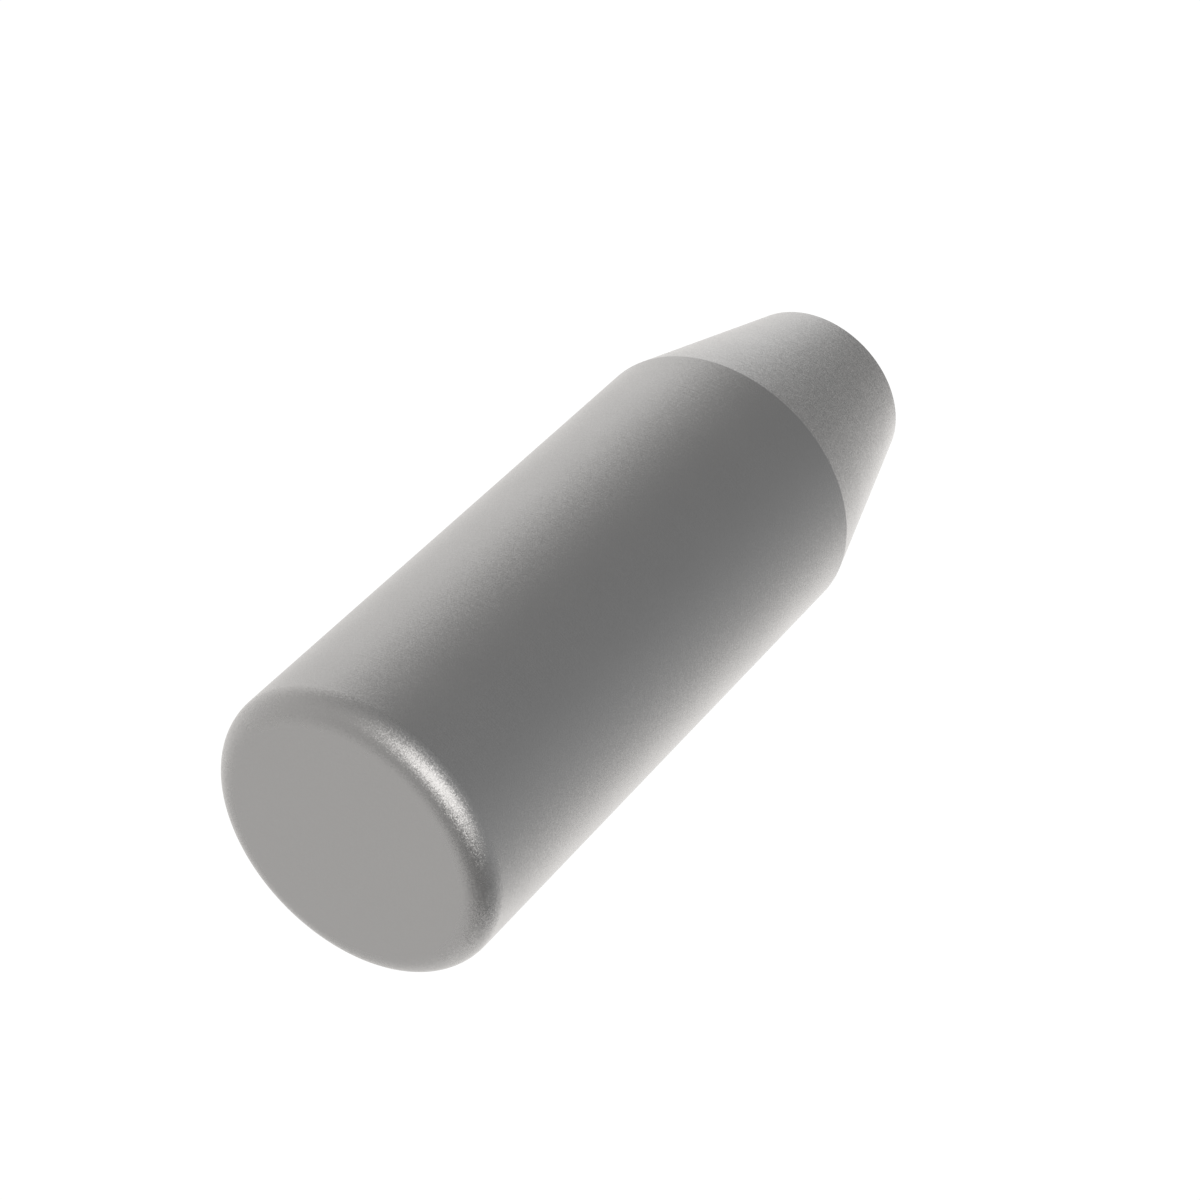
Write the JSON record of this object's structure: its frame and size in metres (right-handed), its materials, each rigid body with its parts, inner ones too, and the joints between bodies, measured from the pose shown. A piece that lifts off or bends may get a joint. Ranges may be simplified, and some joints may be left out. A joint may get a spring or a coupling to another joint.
{
  "type": "bearing pin",
  "caption": "Solid round steel bearing pin: straight ground journal, wide flat end with a rounded edge, and a conical lead-in nose with a flat tip.",
  "frame": {"origin": "centre of the flat tip of the nose, which is the face that the pin stands on", "axes": "+Z along the pin's axis, from the nose's tip to the wide end face; X and Y are equal, because the pin is round"},
  "size_m": [0.018, 0.018, 0.05],
  "materials": {
    "satin_steel": "satin, fine matt ground and tumbled"
  },
  "bodies": {
    "root": {"bearing_pin": "satin_steel"}
  },
  "joints": []
}
